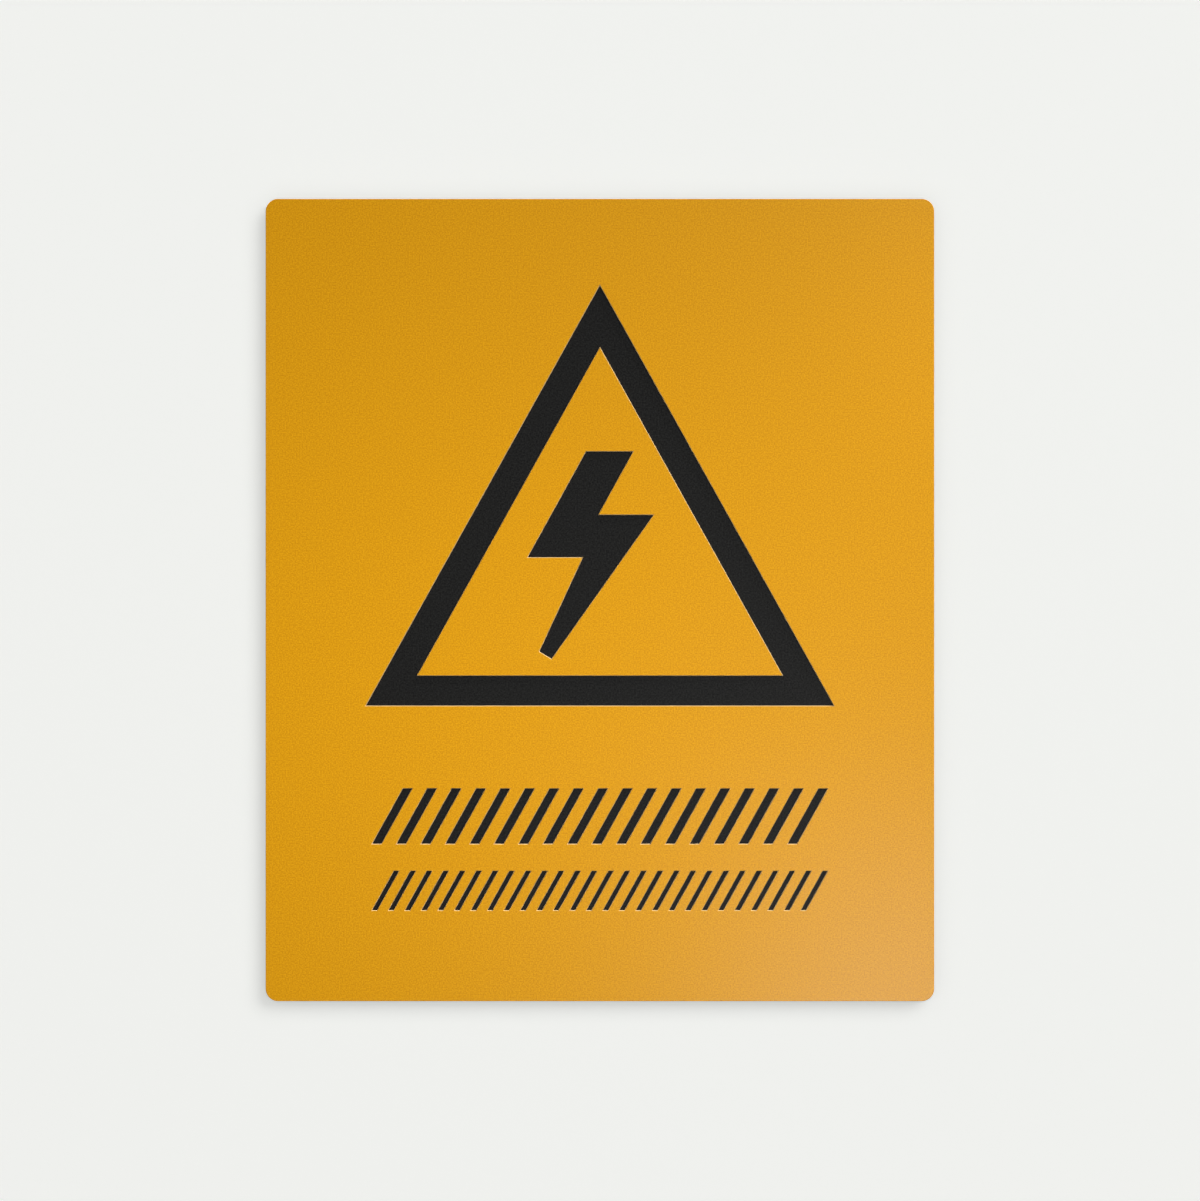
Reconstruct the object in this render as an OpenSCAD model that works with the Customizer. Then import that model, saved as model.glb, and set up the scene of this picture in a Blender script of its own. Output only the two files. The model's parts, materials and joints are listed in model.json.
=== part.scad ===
// Electrical hazard sign, cut from a flat two-ply engraving sheet.
// A black core sheet carries a thin yellow cap sheet. The border of the triangle,
// the bolt and two rows of slanted strokes are engraved through the cap into the
// core, with sloping walls, so that the core shows black in them.
// The sign stands upright: +Z is up, the front faces -Y, and the origin is the
// middle of the flat back. The shapes are drawn flat, front side up, then stood up.
// Sizes of the black shapes are taken where the yellow ends, at the joint of the
// two sheets. All sizes are in millimetres, and all angles in degrees.

/* [Plate] */
// Width of the plate
plate_w = 150; // [130:1:240]
// Height of the plate
plate_h = 180; // [165:1:300]
// Radius of the four corners of the plate
corner_r = 2.8; // [1:0.1:12]
// Thickness of the black core sheet
core_t = 2.9; // [1.3:0.1:6]
// Thickness of the yellow cap sheet
cap_t = 0.3; // [0.15:0.01:0.6]
// Chamfer that takes the sharpness off the front edge of the cap
edge_break = 0.1; // [0.05:0.01:0.4]

/* [Engraving] */
// Depth of the engraved floors below the joint of the two sheets
core_cut = 0.1; // [0.05:0.01:0.5]
// Lean of the engraved walls away from square
wall_lean = 22; // [5:1:40]

/* [Triangle] */
// Width of the black triangle across its base
tri_w = 105; // [85:1:122]
// Height of the black triangle
tri_h = 94.3; // [75:0.1:115]
// Width of the black border
border_w = 6.7; // [4:0.1:9]
// How far the triangle and the rows sit above the middle of the plate
layout_lift = 0.5; // [-2:0.1:2]

/* [Bolt] */
// Clear height from the base of the yellow triangle up to the bolt
bolt_gap_low = 3.8; // [2:0.1:8]
// Clear height from the bolt up to the point of the yellow triangle
bolt_gap_high = 23.5; // [20:0.1:34]
// How far the middle of the bolt lies to the right of the triangle's middle
bolt_shift = -2.1; // [-4:0.1:0]
// Lean of the upper bar of the bolt
bolt_lean = 28.9; // [24:0.1:32]
// Lean of the outer edge of the spike
spike_lean = 35.3; // [33:0.1:38]
// Turn of the blunt end of the spike
spike_end_turn = 31.6; // [20:0.1:40]
// Width of the flat top of the bolt, as a share of the bolt's height
bolt_top_share = 0.226; // [0.18:0.001:0.28]
// Length of the step at each side of the bolt, as a share of its height
bolt_step_share = 0.267; // [0.22:0.001:0.3]
// Depth of the right step below the top, as a share of the bolt's height
right_step_share = 0.306; // [0.25:0.001:0.36]
// Depth of the left step below the top, as a share of the bolt's height
left_step_share = 0.51; // [0.46:0.001:0.56]
// Width of the blunt end of the spike, as a share of the bolt's height
spike_end_share = 0.068; // [0.04:0.001:0.09]

/* [Stroke rows] */
// How far each end of a row stops short of the triangle's corner
row_inset = 1.4; // [0:0.1:10]
// Clear height from the upper row to the triangle
upper_gap = 18.6; // [8:0.1:24]
// Height of the upper row
upper_h = 12.4; // [8:0.1:16]
// Thickness of a stroke in the upper row
upper_stroke = 1.8; // [1:0.1:2.4]
// Number of strokes in the upper row
upper_count = 18; // [8:1:20]
// Clear height from the lower row to the upper row
lower_gap = 6.1; // [3:0.1:12]
// Height of the lower row
lower_h = 8.8; // [5:0.1:12]
// Thickness of a stroke in the lower row
lower_stroke = 0.95; // [0.6:0.05:1.4]
// Number of strokes in the lower row
lower_count = 27; // [12:1:32]

/* [Hidden] */
$fn = 64;
core_colour = "#242424";
cap_colour = "#e2a01e";

// The cutter runs this far past a face that it opens
cutter_past = 0.2;
// Sideways run of an engraved wall for each millimetre of depth
wall_slope = tan(wall_lean);
// The least thickness of cap below the chamfer, which stays within the cap
cap_edge_min = 0.05;
edge_cut = min(edge_break, cap_t - cap_edge_min);

// The layout from top to bottom is centred on the plate, then lifted
layout_h = tri_h + upper_gap + upper_h + lower_gap + lower_h;
tri_base_y = layout_lift + layout_h / 2 - tri_h;
upper_base_y = tri_base_y - upper_gap - upper_h;
lower_base_y = upper_base_y - lower_gap - lower_h;
row_w = tri_w - 2 * row_inset;

// The side of the triangle leans this far from upright, and so does each stroke
tri_lean = atan(tri_w / 2 / tri_h);
tri_outline = [[-tri_w / 2, tri_base_y], [tri_w / 2, tri_base_y], [0, tri_base_y + tri_h]];
field_base_y = tri_base_y + border_w;
field_point_y = tri_base_y + tri_h - border_w / sin(tri_lean);

// The bolt stands between its two gaps, and its outline grows with its height
bolt_h = field_point_y - field_base_y - bolt_gap_low - bolt_gap_high;
bolt_base_y = field_base_y + bolt_gap_low;
bolt_step = bolt_step_share * bolt_h;
top_right = [bolt_top_share * bolt_h, bolt_h];
right_notch = top_right - leaning(right_step_share * bolt_h, bolt_lean);
right_point = right_notch + [bolt_step, 0];
spike_right = right_point - leaning(right_point.y, spike_lean);
spike_left = spike_right
    + spike_end_share * bolt_h * [-cos(spike_end_turn), sin(spike_end_turn)];
left_point = [0, bolt_h] - leaning(left_step_share * bolt_h, bolt_lean);
left_notch = left_point + [bolt_step, 0];
bolt_place = [bolt_shift - (left_point.x + right_point.x) / 2, bolt_base_y];
bolt_outline = [
    for (corner = [[0, bolt_h], left_point, left_notch, spike_left,
                   spike_right, right_point, right_notch, top_right])
        corner + bolt_place
];

// The way from the bottom to the top of an edge that rises by rise and leans right
function leaning(rise, lean) = [rise * tan(lean), rise];

// The outward direction of the edge from one corner to the next, anticlockwise
function outward(from, to) = let (run = to - from) [run.y, -run.x] / norm(run);

// An outline with each of its edges moved outwards by distance, corners kept sharp
function grown(outline, distance) = let (count = len(outline)) [
    for (i = [0 : count - 1])
        let (
            before = outward(outline[(i + count - 1) % count], outline[i]),
            after = outward(outline[i], outline[(i + 1) % count])
        )
        outline[i] + distance * (before + after) / (1 + before * after)
];

// Above 0 where the three points run anticlockwise
function turn(a, b, c) = cross(b - a, c - a);

// An outline's corners are given here by their numbers in it. This one is an ear if
// the triangle that it makes with its neighbours sticks out and holds no other corner
function is_ear(outline, corners, place) =
    let (
        count = len(corners),
        a = outline[corners[(place + count - 1) % count]],
        b = outline[corners[place]],
        c = outline[corners[(place + 1) % count]],
        held = [
            for (k = [2 : 1 : count - 2])
                let (p = outline[corners[(place + k) % count]])
                if (min(turn(a, b, p), turn(b, c, p), turn(c, a, p)) >= 0) k
        ]
    )
    turn(a, b, c) > 0 && len(held) == 0;

// An outline split into triangles, by cutting off one ear after another
function triangles(outline, corners) =
    let (count = len(corners))
    count < 3 ? [] :
    let (
        ears = [for (i = [0 : count - 1]) if (is_ear(outline, corners, i)) i],
        ear = ears[0],
        rest = [for (i = [0 : count - 1]) if (i != ear) corners[i]],
        cut_off = [for (k = [-1 : 1]) corners[(ear + k + count) % count]]
    )
    concat([cut_off], triangles(outline, rest));

// The outline of one slanted stroke whose lower left corner is at foot
function stroke_outline(foot, height, thickness) =
    let (across = [thickness / cos(tri_lean), 0])
    [foot, foot + across, foot + across + leaning(height, tri_lean),
     foot + leaning(height, tri_lean)];

module upright() {
    rotate([90, 0, 0]) children();
}

// A solid that has the outline at the joint of the two sheets, and that widens by
// slope towards the front, between two levels counted from that joint
module sloped(outline, low, high, slope) {
    count = len(outline);
    floor_split = triangles(outline, [for (i = [0 : count - 1]) i]);
    polyhedron(
        points = concat(
            [for (p = grown(outline, low * slope)) [p.x, p.y, core_t + low]],
            [for (p = grown(outline, high * slope)) [p.x, p.y, core_t + high]]
        ),
        faces = concat(
            floor_split,
            [for (t = floor_split) [count + t[2], count + t[1], count + t[0]]],
            [for (i = [0 : count - 1])
                [i, count + i, count + (i + 1) % count, (i + 1) % count]]
        )
    );
}

module engraved(outline) {
    sloped(outline, -core_cut, cap_t + cutter_past, wall_slope);
}

module stroke_row(base_y, height, thickness, count) {
    stroke_w = thickness / cos(tri_lean) + height * tan(tri_lean);
    pitch = (row_w - stroke_w) / (count - 1);
    for (i = [0 : count - 1])
        engraved(stroke_outline([-row_w / 2 + i * pitch, base_y], height, thickness));
}

module stroke_rows() {
    stroke_row(upper_base_y, upper_h, upper_stroke, upper_count);
    stroke_row(lower_base_y, lower_h, lower_stroke, lower_count);
}

module plate_outline() {
    square([plate_w, plate_h - 2 * corner_r], center = true);
    square([plate_w - 2 * corner_r, plate_h], center = true);
    plate_corners() circle(corner_r);
}

module plate_corners() {
    for (x = [-1, 1], y = [-1, 1])
        translate([x * (plate_w / 2 - corner_r), y * (plate_h / 2 - corner_r)]) children();
}

// A bar with both long edges chamfered over its full height
module chamfered_bar(width, length) {
    linear_extrude(length, center = true)
        polygon([[-width / 2, 0], [width / 2, 0],
                 [width / 2 - edge_cut, edge_cut], [-width / 2 + edge_cut, edge_cut]]);
}

// The cap sheet before engraving, with its front edge chamfered all round
module cap_sheet() {
    translate([0, 0, core_t]) {
        linear_extrude(cap_t - edge_cut) plate_outline();
        translate([0, 0, cap_t - edge_cut]) {
            plate_corners() cylinder(h = edge_cut, r1 = corner_r, r2 = corner_r - edge_cut);
            rotate([90, 0, 0]) chamfered_bar(plate_w, plate_h - 2 * corner_r);
            rotate([90, 0, 90]) chamfered_bar(plate_h, plate_w - 2 * corner_r);
        }
    }
}

module black_core() {
    color(core_colour) upright() difference() {
        linear_extrude(core_t) plate_outline();
        difference() {
            engraved(tri_outline);
            sloped(grown(tri_outline, -border_w), -core_cut - cutter_past,
                   cap_t + 2 * cutter_past, -wall_slope);
        }
        engraved(bolt_outline);
        stroke_rows();
    }
}

module yellow_field() {
    color(cap_colour) upright() difference() {
        cap_sheet();
        engraved(tri_outline);
        stroke_rows();
    }
}

module yellow_triangle() {
    color(cap_colour) upright() difference() {
        sloped(grown(tri_outline, -border_w), 0, cap_t, -wall_slope);
        engraved(bolt_outline);
    }
}

black_core();
yellow_field();
yellow_triangle();
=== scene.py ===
"""Finishes and stages an electrical hazard sign cut from two-ply engraving laminate.

The sign is a black core sheet under a yellow cap sheet. The triangle's border, the
bolt and the rows of strokes are cut through the cap into the core. The solids come
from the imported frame. This file gives each sheet its finish, and sets up the wall,
the floor, the lamps and the camera. Lengths are in metres, as in the frame.
"""

import json
import math
from typing import NamedTuple

import bpy
from bpy.props import FloatProperty, FloatVectorProperty, PointerProperty
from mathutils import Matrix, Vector

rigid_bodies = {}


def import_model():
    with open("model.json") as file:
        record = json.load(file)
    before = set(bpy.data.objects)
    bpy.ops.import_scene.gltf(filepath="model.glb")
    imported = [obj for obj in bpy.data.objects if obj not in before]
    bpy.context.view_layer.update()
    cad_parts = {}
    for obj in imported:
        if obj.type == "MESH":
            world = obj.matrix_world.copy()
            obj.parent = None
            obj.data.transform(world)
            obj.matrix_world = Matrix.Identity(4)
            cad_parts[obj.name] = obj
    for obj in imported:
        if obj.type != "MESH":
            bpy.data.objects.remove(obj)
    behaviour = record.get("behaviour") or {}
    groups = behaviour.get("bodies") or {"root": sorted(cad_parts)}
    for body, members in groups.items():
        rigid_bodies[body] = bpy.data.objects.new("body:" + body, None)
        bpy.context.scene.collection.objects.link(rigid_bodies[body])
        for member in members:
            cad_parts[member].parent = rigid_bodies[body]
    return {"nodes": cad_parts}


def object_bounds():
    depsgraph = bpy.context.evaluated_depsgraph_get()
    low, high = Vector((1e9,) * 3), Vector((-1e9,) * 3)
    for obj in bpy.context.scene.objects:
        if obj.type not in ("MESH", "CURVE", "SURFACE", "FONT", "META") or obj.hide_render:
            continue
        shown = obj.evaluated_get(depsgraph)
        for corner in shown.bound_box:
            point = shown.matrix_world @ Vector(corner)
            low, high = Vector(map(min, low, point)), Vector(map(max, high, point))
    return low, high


bl_info = {
    "name": "Engraved Hazard Sign",
    "version": (1, 0, 0),
    "blender": (4, 5, 0),
    "location": "View3D > Sidebar > Sign",
    "description": "Finishes and stages a hazard sign cut from two-ply engraving laminate",
    "category": "Object",
}

for leftover in list(bpy.data.objects):
    bpy.data.objects.remove(leftover)
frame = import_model()
CAD_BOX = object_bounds()

MM = 0.001

# The image is this many pixels, and the middle of the plate shows at this one
IMAGE_W, IMAGE_H = 1200, 1201
MIDDLE_PX = (599.9, 600.05)
SENSOR = 36 * MM

ACRYLIC_IOR = 1.49

# A face whose normal lies this near to the sheet's own is flat; engraved walls, at 0.4,
# and the sawn outer edges, at 0, fall below it, and the broken front edge, at 0.7, above
FLAT_FROM = 0.6

# Noise seldom leaves this range, so this is what is stretched to run from 0 to 1
NOISE_LOW, NOISE_HIGH = 0.3, 0.7


def linear(code):
    """The linear colour, with alpha, of an sRGB hex value."""
    values = [int(code[i:i + 2], 16) / 255 for i in (1, 3, 5)]
    return (*[v / 12.92 if v <= 0.04045 else ((v + 0.055) / 1.055) ** 2.4 for v in values], 1)


def hex_colour(code, label, about):
    """A colour property that starts at an sRGB hex value."""
    return FloatVectorProperty(
        name=label, description=about, subtype="COLOR", size=4, min=0, max=1,
        default=linear(code),
    )


def length(metres, label, about):
    """A length property."""
    return FloatProperty(
        name=label, description=about, subtype="DISTANCE", unit="LENGTH", min=0,
        precision=5, default=metres,
    )


def share(value, label, about):
    """A property that is a share of one."""
    return FloatProperty(
        name=label, description=about, subtype="FACTOR", min=0, max=1, default=value
    )


class CapFinish(bpy.types.PropertyGroup):
    """The yellow cap sheet's colours and surface."""

    colour: hex_colour("#f0b018", "Yellow", "High spots of the matt texture")
    colour_deep: hex_colour("#d98f00", "Deep yellow", "Low spots of the matt texture")
    cut_colour: hex_colour("#ecc88c", "Cut yellow", "Freshly cut wall of the cap")
    roughness: share(0.39, "Roughness", "Roughness of the matt-rolled face")
    cut_roughness: share(0.6, "Cut roughness", "Roughness where the cutter passed")
    grain: length(0.32 * MM, "Grain", "Width of one pit of the matt texture, as drawn")
    grain_depth: length(0.012 * MM, "Grain depth", "Depth of the matt texture")


class CoreFinish(bpy.types.PropertyGroup):
    """The black core sheet's colours and surfaces."""

    colour: hex_colour("#202020", "Black", "High spots of the back as it left the press")
    colour_low: hex_colour("#0f0f0f", "Low black", "Low spots of the back")
    colour_deep: hex_colour("#0b0b0b", "Deep black", "Low spots of the engraved floors")
    colour_worn: hex_colour("#282827", "Cut black", "Plastic bruised by the cutter")
    floor_roughness: share(0.62, "Floor roughness", "Roughness of the engraved floors")
    back_roughness: share(0.3, "Back roughness", "Roughness of the clear spots of the back")
    haze_roughness: share(0.46, "Haze roughness", "Roughness of the hazy spots of the back")
    edge_roughness: share(0.5, "Edge roughness", "Roughness of the sawn edges")
    specular: share(0.24, "Specular level", "Strength of the sheen, 0.5 for clean acrylic")
    grain: length(0.35 * MM, "Floor grain", "Width of the marks on the floors, as drawn")
    grain_depth: length(0.015 * MM, "Floor depth", "Depth of the marks on the floors")
    saw_pitch: length(0.5 * MM, "Saw marks", "Spacing of the saw's marks along the edges")
    saw_depth: length(0.02 * MM, "Saw depth", "Depth of the saw's marks")
    press_grain: length(1.2 * MM, "Back texture", "Width of the back's faint ripple")
    press_depth: length(0.015 * MM, "Back depth", "Depth of the back's faint ripple")
    haze: length(14 * MM, "Haze", "Width of the back's hazy spots")


class StageSettings(bpy.types.PropertyGroup):
    """The wall, floor and camera."""

    pale: hex_colour("#f0f1ee", "Pale grey", "Colour of the wall, the floor and the room")
    shade_share: share(0.47, "Wall shade", "Share of the wall that a shadow can darken")
    floor_share: share(0.15, "Floor shade", "Share of the floor that a shadow can darken")
    wall_gap: length(0.2 * MM, "Wall gap", "From the back of the plate to the wall")
    floor_drop: length(0.6, "Floor drop", "From the middle of the plate down to the floor")
    reach: length(6.0, "Reach", "Half the width of the wall and of the floor")
    lens: length(70 * MM, "Lens", "Focal length, for a 36 mm sensor")
    pixel: length(0.2243 * MM, "Pixel", "Width of an image pixel on the plate's front")
    room_light: share(0.03, "Room light", "Even light from all round, as a share of all")


def add_node(tree, kind, settings=None, links=None):
    """Adds a node, gives it its settings, and links (node, output) pairs to its inputs.

    Inputs and outputs go by identifier, because several may share one name.
    """
    node = tree.nodes.new(kind)
    for name, value in (settings or {}).items():
        if hasattr(node, name):
            setattr(node, name, value)
        else:
            find_socket(node.inputs, name).default_value = value
    for name, (source, output) in (links or {}).items():
        tree.links.new(find_socket(source.outputs, output), find_socket(node.inputs, name))
    return node


def find_socket(sockets, identifier):
    """The socket that has this identifier."""
    return next(s for s in sockets if s.identifier == identifier)


def empty_material(name):
    """A new material whose node tree is empty, and that tree."""
    material = bpy.data.materials.new(name)
    material.use_nodes = True
    material.node_tree.nodes.clear()
    return material, material.node_tree


def cut_mask(tree):
    """Two nodes: 1 on engraved walls and sawn edges and 0 on flat faces, and the normal."""
    geometry = add_node(tree, "ShaderNodeNewGeometry")
    normal = add_node(
        tree, "ShaderNodeSeparateXYZ", links={"Vector": (geometry, "True Normal")}
    )
    flatness = add_node(
        tree, "ShaderNodeMath", {"operation": "ABSOLUTE"}, {"Value": (normal, "Y")}
    )
    cut = add_node(
        tree, "ShaderNodeMath", {"operation": "LESS_THAN", "Value_001": FLAT_FROM},
        {"Value": (flatness, "Value")},
    )
    return cut, normal


def mottle(tree, place, width):
    """Two nodes: noise whose blotches are about width across on the object, for relief,
    and the same noise stretched to run from 0 to 1, for colour and roughness."""
    noise = add_node(
        tree, "ShaderNodeTexNoise", {"Scale": 1 / width, "Detail": 1.0, "Roughness": 0.6},
        {"Vector": (place, "Object")},
    )
    spread = add_node(
        tree, "ShaderNodeMapRange", {"From Min": NOISE_LOW, "From Max": NOISE_HIGH},
        {"Value": (noise, "Fac")},
    )
    return noise, spread


def matt_rolled_acrylic(finish):
    """The cap: modified acrylic, rolled matt at the factory, then cut by an engraver.

    The rolled face gives a soft sheen that breaks up into fine grain. Where the cutter
    went through, the plastic is bruised, so the walls look paler and duller.
    The real pits are about 0.1 mm wide and would not show, so they are drawn wider.
    """
    material, tree = empty_material("acrylic_cap_matt_rolled")
    place = add_node(tree, "ShaderNodeTexCoord")
    cut, _ = cut_mask(tree)
    grain, pits = mottle(tree, place, finish.grain)
    rolled = add_node(
        tree, "ShaderNodeMix",
        {"data_type": "RGBA", "A_Color": finish.colour_deep, "B_Color": finish.colour},
        {"Factor_Float": (pits, "Result")},
    )
    colour = add_node(
        tree, "ShaderNodeMix", {"data_type": "RGBA", "B_Color": finish.cut_colour},
        {"Factor_Float": (cut, "Value"), "A_Color": (rolled, "Result_Color")},
    )
    roughness = add_node(
        tree, "ShaderNodeMapRange",
        {"To Min": finish.roughness, "To Max": finish.cut_roughness},
        {"Value": (cut, "Value")},
    )
    relief = add_node(
        tree, "ShaderNodeBump", {"Strength": 1.0, "Distance": finish.grain_depth},
        {"Height": (grain, "Fac")},
    )
    shader = add_node(
        tree, "ShaderNodeBsdfPrincipled", {"IOR": ACRYLIC_IOR},
        {
            "Base Color": (colour, "Result_Color"),
            "Roughness": (roughness, "Result"),
            "Normal": (relief, "Normal"),
        },
    )
    add_node(tree, "ShaderNodeOutputMaterial", links={"Surface": (shader, "BSDF")})
    return material


def engraved_black_acrylic(finish):
    """The core: solid black acrylic, engraved in front, sawn at the edges, plain behind.

    The cutter leaves the floors dead matt with fine grey marks. The saw leaves streaks
    across the thickness of the edges. The back keeps the press's satin, with a fine
    ripple and with the faint haze that the sheet's film leaves when it is peeled off.
    The floors' marks are about 0.1 mm wide in truth, and are drawn wider to show.
    """
    material, tree = empty_material("acrylic_core_engraved")
    place = add_node(tree, "ShaderNodeTexCoord")
    cut, normal = cut_mask(tree)
    back = add_node(
        tree, "ShaderNodeMath", {"operation": "GREATER_THAN", "Value_001": FLAT_FROM},
        {"Value": (normal, "Y")},
    )
    grain, marks = mottle(tree, place, finish.grain)
    ripple, rippled = mottle(tree, place, finish.press_grain)
    _, hazy = mottle(tree, place, finish.haze)

    # Along each straight edge only one of x and z changes, so their sum runs along it
    axes = add_node(tree, "ShaderNodeSeparateXYZ", links={"Vector": (place, "Object")})
    along = add_node(
        tree, "ShaderNodeMath", {"operation": "ADD"},
        {"Value": (axes, "X"), "Value_001": (axes, "Z")},
    )
    streaks = add_node(
        tree, "ShaderNodeTexNoise",
        {"noise_dimensions": "1D", "Scale": 1 / finish.saw_pitch, "Detail": 3.0},
        {"W": (along, "Value")},
    )

    sawn = add_node(
        tree, "ShaderNodeMapRange", {"From Min": 0.35, "From Max": 0.65, "To Min": 0.3},
        {"Value": (streaks, "Fac")},
    )
    tooled = add_node(
        tree, "ShaderNodeMix", links={
            "Factor_Float": (cut, "Value"), "A_Float": (marks, "Result"),
            "B_Float": (sawn, "Result"),
        },
    )
    worn = add_node(
        tree, "ShaderNodeMix",
        {"data_type": "RGBA", "A_Color": finish.colour_deep, "B_Color": finish.colour_worn},
        {"Factor_Float": (tooled, "Result_Float")},
    )
    pressed = add_node(
        tree, "ShaderNodeMix",
        {"data_type": "RGBA", "A_Color": finish.colour_low, "B_Color": finish.colour},
        {"Factor_Float": (rippled, "Result")},
    )
    colour = add_node(
        tree, "ShaderNodeMix", {"data_type": "RGBA"},
        {
            "Factor_Float": (back, "Value"), "A_Color": (worn, "Result_Color"),
            "B_Color": (pressed, "Result_Color"),
        },
    )
    front_roughness = add_node(
        tree, "ShaderNodeMapRange",
        {"To Min": finish.floor_roughness, "To Max": finish.edge_roughness},
        {"Value": (cut, "Value")},
    )
    rear_roughness = add_node(
        tree, "ShaderNodeMapRange",
        {"To Min": finish.back_roughness, "To Max": finish.haze_roughness},
        {"Value": (hazy, "Result")},
    )
    roughness = add_node(
        tree, "ShaderNodeMix", links={
            "Factor_Float": (back, "Value"), "A_Float": (front_roughness, "Result"),
            "B_Float": (rear_roughness, "Result"),
        },
    )

    floor_height = add_node(
        tree, "ShaderNodeMath", {"operation": "MULTIPLY", "Value_001": finish.grain_depth},
        {"Value": (grain, "Fac")},
    )
    edge_height = add_node(
        tree, "ShaderNodeMath", {"operation": "MULTIPLY", "Value_001": finish.saw_depth},
        {"Value": (streaks, "Fac")},
    )
    back_height = add_node(
        tree, "ShaderNodeMath", {"operation": "MULTIPLY", "Value_001": finish.press_depth},
        {"Value": (ripple, "Fac")},
    )
    front_height = add_node(
        tree, "ShaderNodeMix", links={
            "Factor_Float": (cut, "Value"), "A_Float": (floor_height, "Value"),
            "B_Float": (edge_height, "Value"),
        },
    )
    height = add_node(
        tree, "ShaderNodeMix", links={
            "Factor_Float": (back, "Value"), "A_Float": (front_height, "Result_Float"),
            "B_Float": (back_height, "Value"),
        },
    )
    relief = add_node(
        tree, "ShaderNodeBump", {"Strength": 1.0, "Distance": 1.0},
        {"Height": (height, "Result_Float")},
    )
    shader = add_node(
        tree, "ShaderNodeBsdfPrincipled",
        {"IOR": ACRYLIC_IOR, "Specular IOR Level": finish.specular},
        {
            "Base Color": (colour, "Result_Color"),
            "Roughness": (roughness, "Result_Float"),
            "Normal": (relief, "Normal"),
        },
    )
    add_node(tree, "ShaderNodeOutputMaterial", links={"Surface": (shader, "BSDF")})
    return material


def dress(node, material):
    """Puts the material in every slot of a node of the frame."""
    for slot in frame["nodes"][node].material_slots:
        slot.material = material


def pale_board(stage, name, shade_share, wall_light, one_sided):
    """Matt painted board. What the camera sees of it is partly its own brightness, so
    that it comes out pale and even, and partly lamplight, which keeps the shadows.

    A one-sided board is clear from behind, so that the plate's back can be seen.
    """
    material, tree = empty_material(name)
    path = add_node(tree, "ShaderNodeLightPath")
    seen = add_node(
        tree, "ShaderNodeMath", {"operation": "MAXIMUM"},
        {"Value": (path, "Is Camera Ray"), "Value_001": (path, "Is Glossy Ray")},
    )
    shown = add_node(
        tree, "ShaderNodeMath", {"operation": "MAXIMUM"},
        {"Value": (seen, "Value"), "Value_001": (path, "Is Transmission Ray")},
    )
    lit_colour = [c * shade_share / wall_light for c in stage.pale[:3]]
    lit = add_node(tree, "ShaderNodeBsdfDiffuse", {"Color": (*lit_colour, 1)})
    glow = add_node(
        tree, "ShaderNodeEmission",
        {"Color": tuple(stage.pale), "Strength": 1 - shade_share},
    )
    both = add_node(
        tree, "ShaderNodeAddShader",
        links={"Shader": (lit, "BSDF"), "Shader_001": (glow, "Emission")},
    )
    surface = add_node(
        tree, "ShaderNodeMixShader", links={
            "Fac": (shown, "Value"), "Shader": (lit, "BSDF"),
            "Shader_001": (both, "Shader"),
        },
    )
    if one_sided:
        geometry = add_node(tree, "ShaderNodeNewGeometry")
        clear = add_node(tree, "ShaderNodeBsdfTransparent")
        surface = add_node(
            tree, "ShaderNodeMixShader", links={
                "Fac": (geometry, "Backfacing"), "Shader": (surface, "Shader"),
                "Shader_001": (clear, "BSDF"),
            },
        )
    add_node(tree, "ShaderNodeOutputMaterial", links={"Surface": (surface, "Shader")})
    return material


def add_board(name, corners, material):
    """A flat board through these corners, anticlockwise as seen from its front."""
    mesh = bpy.data.meshes.new(name)
    mesh.from_pydata(corners, [], [range(len(corners))])
    mesh.materials.append(material)
    board = bpy.data.objects.new(name, mesh)
    bpy.context.scene.collection.objects.link(board)
    # A board neither tints the plate nor keeps the lamps' light from it
    board.visible_diffuse = False
    board.visible_shadow = False
    return board


class Lamp(NamedTuple):
    """A flat rectangular lamp. Its share is the light that it alone would give the
    middle of the plate, where 1 shows a colour as written."""

    name: str
    place: tuple
    size: tuple
    share: float
    facing: tuple = None
    in_gloss: bool = True
    in_colour: bool = True
    plate_only: bool = False


# The key hangs on the upper right, so it shades the wall to the left of the plate and
# below it, and the broad front lamp softens that. The near lamp's light falls off
# towards the plate's corners, and the side lamp lifts the right edge again. The skim
# lamp grazes the plate and picks out the engraved walls that face up and right. Their
# shares and the room's make 1. The two panels show only as sheen, and the rear lamp
# lights the back.
LAMPS = (
    Lamp("key", (6.24, -6.0, 6.24), (8.1, 8.1), 0.2, facing=(0, 1, 0), in_gloss=False),
    Lamp("front_lamp", (0.0, -3.0, 0.0), (9.6, 9.6), 0.27, facing=(0, 1, 0),
         in_gloss=False),
    Lamp("near_lamp", (0.01, -0.144, -0.024), (0.2, 0.08), 0.344, facing=(0, 1, 0),
         in_gloss=False, plate_only=True),
    Lamp("side_lamp", (0.094, -0.05, 0.059), (0.06, 0.06), 0.006, facing=(0, 1, 0),
         in_gloss=False, plate_only=True),
    Lamp("skim_lamp", (3.3, -1.0, 4.86), (0.8, 0.8), 0.15,
         in_gloss=False, plate_only=True),
    Lamp("low_panel", (0.096, -0.214, -0.151), (0.087, 0.156), 0.24, in_colour=False),
    Lamp("high_panel", (0.39, -0.764, 0.47), (0.22, 0.6), 0.13, in_colour=False),
    Lamp("rear_lamp", (-0.9, 1.6, 1.2), (2.4, 2.4), 0.7),
)

# A lamp's light on the plate is summed over this many patches of it each way
PATCHES = 24


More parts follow.
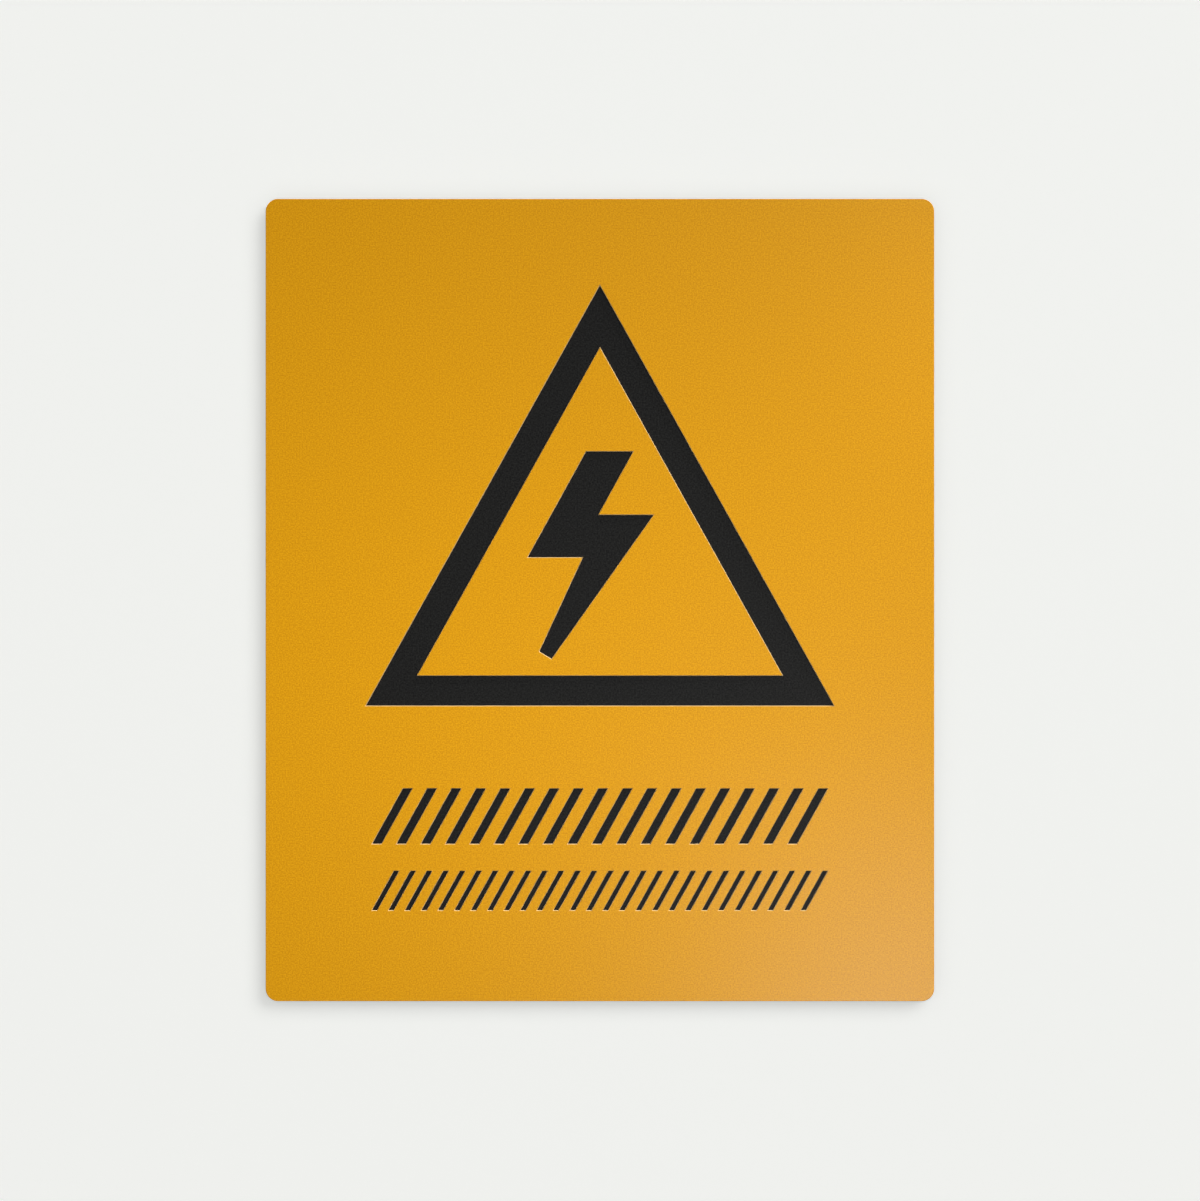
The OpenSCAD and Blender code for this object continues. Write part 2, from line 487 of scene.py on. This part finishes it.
def lamp_power(lamp, facing):
    """The power in watts at which the lamp gives its share, from a sum over its patches."""
    turn = facing.to_track_quat("-Z", "Y")
    area = lamp.size[0] * lamp.size[1]
    seen = 0
    for i in range(PATCHES):
        for j in range(PATCHES):
            on_lamp = Vector((
                lamp.size[0] * ((i + 0.5) / PATCHES - 0.5),
                lamp.size[1] * ((j + 0.5) / PATCHES - 0.5), 0,
            ))
            ray = -(Vector(lamp.place) + turn @ on_lamp)
            way = ray.normalized()
            slant = abs(way.y) * max(way.dot(facing), 0)
            seen += slant * area / PATCHES ** 2 / (math.pi * ray.length_squared)
    return lamp.share / seen * math.pi * area


def add_lamp(lamp, plate):
    """Hangs one lamp. Without a facing of its own it faces the middle of the plate."""
    facing = Vector(lamp.facing or [-v for v in lamp.place]).normalized()
    light = bpy.data.lights.new(lamp.name, "AREA")
    light.shape = "RECTANGLE"
    light.size, light.size_y = lamp.size
    light.energy = lamp_power(lamp, facing)
    # Otherwise a ray that leaves for the colour brings home the lamp's gloss as well
    light.cycles.use_multiple_importance_sampling = False
    holder = bpy.data.objects.new(lamp.name, light)
    holder.location = lamp.place
    holder.rotation_mode = "QUATERNION"
    holder.rotation_quaternion = facing.to_track_quat("-Z", "Y")
    holder.visible_camera = False
    holder.visible_glossy = lamp.in_gloss
    holder.visible_diffuse = lamp.in_colour
    bpy.context.scene.collection.objects.link(holder)
    if lamp.plate_only:
        holder.light_linking.receiver_collection = plate


def set_world(stage):
    """A dim even room for the light, and the wall's pale grey for the camera.

    Gloss sees the dim room, because the pale grey would wash out the matt yellow.
    """
    world = bpy.data.worlds.new("room")
    world.use_nodes = True
    tree = world.node_tree
    tree.nodes.clear()
    path = add_node(tree, "ShaderNodeLightPath")
    shown = add_node(
        tree, "ShaderNodeMath", {"operation": "MAXIMUM"},
        {"Value": (path, "Is Camera Ray"), "Value_001": (path, "Is Transmission Ray")},
    )
    dim = add_node(
        tree, "ShaderNodeBackground", {"Color": (1, 1, 1, 1), "Strength": stage.room_light}
    )
    pale = add_node(
        tree, "ShaderNodeBackground", {"Color": tuple(stage.pale), "Strength": 1.0}
    )
    both = add_node(
        tree, "ShaderNodeMixShader", links={
            "Fac": (shown, "Value"), "Shader": (dim, "Background"),
            "Shader_001": (pale, "Background"),
        },
    )
    add_node(tree, "ShaderNodeOutputWorld", links={"Surface": (both, "Shader")})
    bpy.context.scene.world = world


def set_camera(stage):
    """A level camera in front of the plate, at the distance that gives the pixel size."""
    lens = bpy.data.cameras.new("camera")
    lens.lens = stage.lens / MM
    lens.sensor_width = SENSOR / MM
    focal_px = stage.lens / SENSOR * max(IMAGE_W, IMAGE_H)
    camera = bpy.data.objects.new("camera", lens)
    camera.location = (
        (IMAGE_W / 2 - MIDDLE_PX[0]) * stage.pixel,
        CAD_BOX[0].y - focal_px * stage.pixel,
        (MIDDLE_PX[1] - IMAGE_H / 2) * stage.pixel,
    )
    camera.rotation_euler = (math.pi / 2, 0, 0)
    bpy.context.scene.collection.objects.link(camera)
    bpy.context.scene.camera = camera


class SIGN_OT_black_core(bpy.types.Operator):
    """Give the black core sheet its engraved floors, sawn edges and plain back"""

    bl_idname = "sign.black_core"
    bl_label = "Black Core"

    def execute(self, context):
        dress("black_core", engraved_black_acrylic(context.scene.sign_core))
        return {"FINISHED"}


class SIGN_OT_yellow_cap(bpy.types.Operator):
    """Give both islands of the yellow cap sheet their matt face and cut walls"""

    bl_idname = "sign.yellow_cap"
    bl_label = "Yellow Cap"

    def execute(self, context):
        material = matt_rolled_acrylic(context.scene.sign_cap)
        for node in ("yellow_field", "yellow_triangle"):
            dress(node, material)
        return {"FINISHED"}


class SIGN_OT_stage(bpy.types.Operator):
    """Set up the wall, the floor, the lamps, the room and the camera"""

    bl_idname = "sign.stage"
    bl_label = "Stage"

    def execute(self, context):
        stage = context.scene.sign_stage
        # The key, the front lamp and the room are what lights the wall
        wall_light = LAMPS[0].share + LAMPS[1].share + stage.room_light
        wall_y, floor_z = CAD_BOX[1].y + stage.wall_gap, -stage.floor_drop
        near, far = -stage.reach, stage.reach
        wall_paint = pale_board(
            stage, "painted_wall", stage.shade_share, wall_light, one_sided=True
        )
        floor_paint = pale_board(
            stage, "painted_floor", stage.floor_share, wall_light, one_sided=False
        )
        add_board(
            "wall",
            [(near, wall_y, floor_z), (far, wall_y, floor_z),
             (far, wall_y, far), (near, wall_y, far)],
            wall_paint,
        )
        floor = add_board(
            "floor",
            [(near, near, floor_z), (far, near, floor_z),
             (far, far, floor_z), (near, far, floor_z)],
            floor_paint,
        )
        # The floor's paleness would grey the matt yellow, so gloss does not see it
        floor.visible_glossy = False
        plate = bpy.data.collections.new("plate")
        for node in frame["nodes"].values():
            plate.objects.link(node)
        for lamp in LAMPS:
            add_lamp(lamp, plate)
        set_world(stage)
        set_camera(stage)
        context.scene.view_settings.view_transform = "Standard"
        return {"FINISHED"}


class SIGN_PT_panel(bpy.types.Panel):
    """Lists the sign's operators and their settings"""

    bl_idname = "SIGN_PT_panel"
    bl_label = "Engraved Hazard Sign"
    bl_space_type = "VIEW_3D"
    bl_region_type = "UI"
    bl_category = "Sign"

    def draw(self, context):
        parts = (
            (SIGN_OT_black_core, context.scene.sign_core),
            (SIGN_OT_yellow_cap, context.scene.sign_cap),
            (SIGN_OT_stage, context.scene.sign_stage),
        )
        for operator, settings in parts:
            box = self.layout.box()
            box.operator(operator.bl_idname)
            for name in settings.__annotations__:
                box.prop(settings, name)


CLASSES = (
    CapFinish, CoreFinish, StageSettings,
    SIGN_OT_black_core, SIGN_OT_yellow_cap, SIGN_OT_stage, SIGN_PT_panel,
)
POINTERS = {"sign_cap": CapFinish, "sign_core": CoreFinish, "sign_stage": StageSettings}


def register():
    for each in CLASSES:
        bpy.utils.register_class(each)
    for name, group in POINTERS.items():
        setattr(bpy.types.Scene, name, PointerProperty(type=group))


def unregister():
    for name in POINTERS:
        delattr(bpy.types.Scene, name)
    for each in reversed(CLASSES):
        bpy.utils.unregister_class(each)


def main():
    register()
    bpy.ops.sign.black_core()
    bpy.ops.sign.yellow_cap()
    bpy.ops.sign.stage()


if __name__ == "__main__":
    main()
